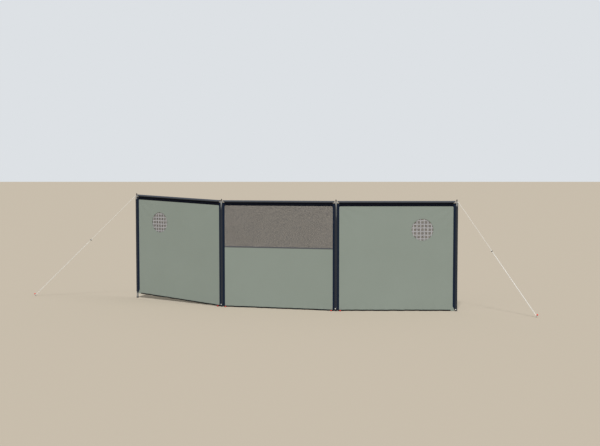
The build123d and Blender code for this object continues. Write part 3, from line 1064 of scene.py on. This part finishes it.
def guyFrame(guy):
    # Loop's centre, directions up the rope, outwards and across it, and its upper end
    turn = np.radians(guy["turn"])
    out = np.array([np.cos(turn), np.sin(turn), 0])
    across = np.array([-out[1], out[0], 0])
    foot = np.array([*poleAxis[guy["pole"]], 0])
    top = foot + out * rope["standoff"] + (0, 0, guy["level"])
    loop = foot + out * guy["run"] - across * rope["loop"] + (0, 0, rope["loopHeight"])
    return loop, unit(top - (loop + across * rope["loop"])), out, across, top


def coil(centre, first, second, axis, make):
    # Centre + spoke x (cos t x first + sin t x second) + rise x (t / 2 pi - drop) x axis
    turn = np.linspace(0, 2 * np.pi * make["turns"], make["steps"])[:, None]
    spoke = np.cos(turn) * first + np.sin(turn) * second
    line = centre + spoke * make["spoke"] + (turn / (2 * np.pi) - make["drop"]) * make["rise"] * axis
    return tube(line, spoke, make["cord"], make["sides"])


def ropePatches(guy):
    # Eye round the pin, straight fall, half turn round the peg, doubled length and the slider's knot
    loop, up, out, across, top = guyFrame(guy)
    pin = top - out * rope["standoff"]
    circle = np.linspace(rope["eyeGap"], 2 * np.pi - rope["eyeGap"], 28)[:, None]
    eye = pin + rope["eye"] * (np.cos(circle) * out + np.sin(circle) * across)
    bottom = loop + across * rope["loop"]
    length = np.linalg.norm(top - bottom)
    straight = top - up * rope["straight"]
    corners = rounded([pin + out * rope["eye"], top, straight], rope["bend"], 9)
    steps = spaced(0, 1, rope["step"] / length)[1:, None]
    fallLine = np.concatenate([corners[:-1], straight + steps * (bottom - straight)])
    half = np.linspace(0, np.pi, 17)[1:, None]
    turn = loop + rope["loop"] * (np.cos(half) * across - np.sin(half) * up)
    tailLength = length * rope["sliderShare"] + rope["knotGap"]
    tail = loop - across * rope["loop"] + spaced(0, tailLength, rope["step"])[1:, None] * up
    lower = np.concatenate([bottom[None], turn, tail])
    normal = np.cross(across, up)
    return [
        tube(eye, (0, 0, 1), rope["radius"]),
        tube(fallLine, across, rope["radius"]),
        tube(lower, normal, rope["radius"]),
        coil(tail[-1], across, normal, up, knot),
        coil(pin + out * (rope["eye"] + whipping["spoke"]), (0, 0, 1), across, out, whipping),
    ]


def headPatch(look, origin, axis):
    # Flat foot round the shank, straight rim, then shoulders that draw in to a flat top
    radius, tall = look["radius"], look["tall"]
    corners = [(look["shank"], 0), (radius, 0), (radius, look["rim"] * tall), (look["top"], tall), (0, tall)]
    return lathe(rounded(corners, look["edge"], look["steps"]), origin, axis, look["sides"])


def guyHead(guy):
    # The shank bears on the inside of the rope's loop, and the head sits a little way up it
    loop, up, out = guyFrame(guy)[:3]
    lean = np.radians(peg["lean"])
    axis = out * np.cos(lean) + (0, 0, np.sin(lean))
    width = peg["shank"] / np.linalg.norm(np.cross(axis, up))
    play = rope["loop"] - rope["radius"] - width - peg["fit"]
    return headPatch(peg, loop - up * play + axis * peg["foot"], axis)


for side, guy in guys.items():
    addPiece(side + "GuyRope", ropePatches(guy), braidedCord, [side + "_guy_rope"])
    head = [guyHead(guy)]
    addPiece(side + "GuyPegHead", head, redPlastic, [side + "_guy_peg_head"])
print("guy ropes made")


# Straps and pegs at the feet

strap = {
    "offset": 0.055,  # from the pole's axis
    "front": 0.022,  # place of the peg, from the panel forward
    "width": 0.016,
    "cloth": 0.0015,
    "top": 0.0155,
    "bend": 0.005,
    "length": 0.032,
}
footPeg = {
    "shank": 0.0035,
    "radius": 0.0098,
    "top": 0.006,
    "tall": 0.012,
    "rim": 0.35,
    "edge": 0.0022,
    "steps": 5,
    "sides": 28,
}
near, far = strap["offset"], bayWidth - strap["offset"]
strapPlaces = [("left", far), ("middle", near), ("middle", far), ("right", near)]


def strapPatch(bay, along):
    # Tab sewn to the hem, bent forward on the ground: its path in depth and height x its width
    face = -cloth["half"] - strap["cloth"] / 2
    level = strap["cloth"] / 2
    corners = [(face, strap["top"]), (face, level), (face - strap["length"], level)]
    path = rounded(corners, strap["bend"], 7)
    across = np.linspace(-0.5, 0.5, 7) * strap["width"]
    points = bayPoint(bay, along + across, path[:, :1], path[:, 1:])
    return grid(points, joined(across, lengthAlong(path)[:, None]))


def footHead(bay, along):
    return headPatch(footPeg, bayPoint(bay, along, -strap["front"], strap["cloth"]), (0, 0, 1))


shapes = [strapPatch(*place) for place in strapPlaces]
addPiece("footStraps", shapes, webbing, ["foot_peg_straps"], (strap["cloth"], 0))
shapes = [footHead(*place) for place in strapPlaces]
addPiece("footPegHeads", shapes, redPlastic, ["foot_pegs"])


# Press studs on the feet of the sleeves

stud = {
    "side": 0.005,
    "height": 0.03,
    "endHeight": 0.02,  # at the end poles
    "sunk": 0.0006,
    "radius": 0.0066,
    "edge": 0.0012,
    "rim": 0.0054,
    "crown": 0.00324,  # from the middle to where the dome slopes
    "dome": 0.0028,
    "fold": 0.001,
    "sides": 28,
}


def studPatch(pole):
    # Domed cap with a rolled rim, turned about its middle and then bent round the sleeve's pocket
    radius, rim, dome, edge, sunk = (stud[name] for name in ("radius", "rim", "dome", "edge", "sunk"))
    section = [(0, -sunk), (radius, -sunk), (radius, edge), (rim, edge), (stud["crown"], dome), (0, dome)]
    section = rounded(section, stud["fold"], 4)
    points, quads, uv, seam = lathe(section, (0, 0, 0), (0, 0, 1), stud["sides"])
    turn = frontOf(pole) + (points[:, 0] - stud["side"]) / sleeve["radius"]
    away = sleeve["radius"] + points[:, 2]
    x, y = poleAxis[pole][:, None] + away * (np.cos(turn), np.sin(turn))
    height = stud["endHeight" if pole.endswith("_end") else "height"]
    z = height + points[:, 1] + (cloth["rise"] if pole == "left_end" else 0)
    return joined(x, y, z), quads, uv, seam


addPiece("sleeveStuds", [studPatch(pole) for pole in poleNames], whiteNylon)
print("feet made")


# Finishes of the rigid pieces

finishes = {
    "_pole": poleSteel,
    "_top_rod": poleSteel,
    "_top_pin": pinSteel,
    "_guy_peg": poleSteel,
    "_guy_slider": blackPolythene,
    "foot_plugs": blackPolythene,
    "pin_caps": greyPlastic,
}
for name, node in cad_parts.items():
    for ending, material in finishes.items():
        if name.endswith(ending):
            node.data.materials.clear()
            node.data.materials.append(material)


# Stage and light

studio = {
    "floor": "#BAB0A0",
    "backdrop": "#DDE1E5",
    "ambient": 0.42,
    "ground": 500.0,  # half the side of the floor
}
# Turn is in degrees from the front towards the right, size the angle that a sun takes up in the sky
suns = {
    "keySun": {"strength": 2.5, "elevation": 57.0, "turn": -10.0, "size": 8.0},
    "fillSun": {"strength": 0.45, "elevation": 40.0, "turn": 70.0, "size": 30.0},
}
for name, look in suns.items():
    data = bpy.data.lights.new(name, "SUN")
    data.energy = look["strength"]
    data.angle = np.radians(look["size"])
    high, side = np.radians(look["elevation"]), np.radians(look["turn"])
    towards = Vector((np.sin(side) * np.cos(high), -np.cos(side) * np.cos(high), np.sin(high)))
    addObject(name, data).rotation_euler = towards.to_track_quat("Z", "Y").to_euler()

scene.world = bpy.data.worlds.new("studio")
tree = emptyTree(scene.world)
path = addNode(tree, "LightPath").outputs
# The camera sees the pale backdrop, directly or mirrored; all else gets the soft light
seen = addMath(tree, "MAXIMUM", path["Is Camera Ray"], path["Is Glossy Ray"])
seen = addMath(tree, "MAXIMUM", seen, path["Is Transmission Ray"])
soft = addNode(tree, "Background", None, {"Color": (1, 1, 1, 1), "Strength": studio["ambient"]})
pale = addNode(tree, "Background", None, {"Color": linear(studio["backdrop"]), "Strength": 1.0})
mixed = addNode(tree, "MixShader", None, {0: seen, 1: soft.outputs[0], 2: pale.outputs[0]})
addNode(tree, "OutputWorld", None, {"Surface": mixed.outputs[0]})

floorMaterial = finished(newMaterial("paleFloor")[0], {"Color": linear(studio["floor"])}, "BsdfDiffuse")
floorMesh = bpy.data.meshes.new("floor")
half = studio["ground"]
corners = [(-half, -half, 0), (half, -half, 0), (half, half, 0), (-half, half, 0)]
floorMesh.from_pydata(corners, [], [(0, 1, 2, 3)])
floorMesh.materials.append(floorMaterial)
addObject("floor", floorMesh)
print("stage made")
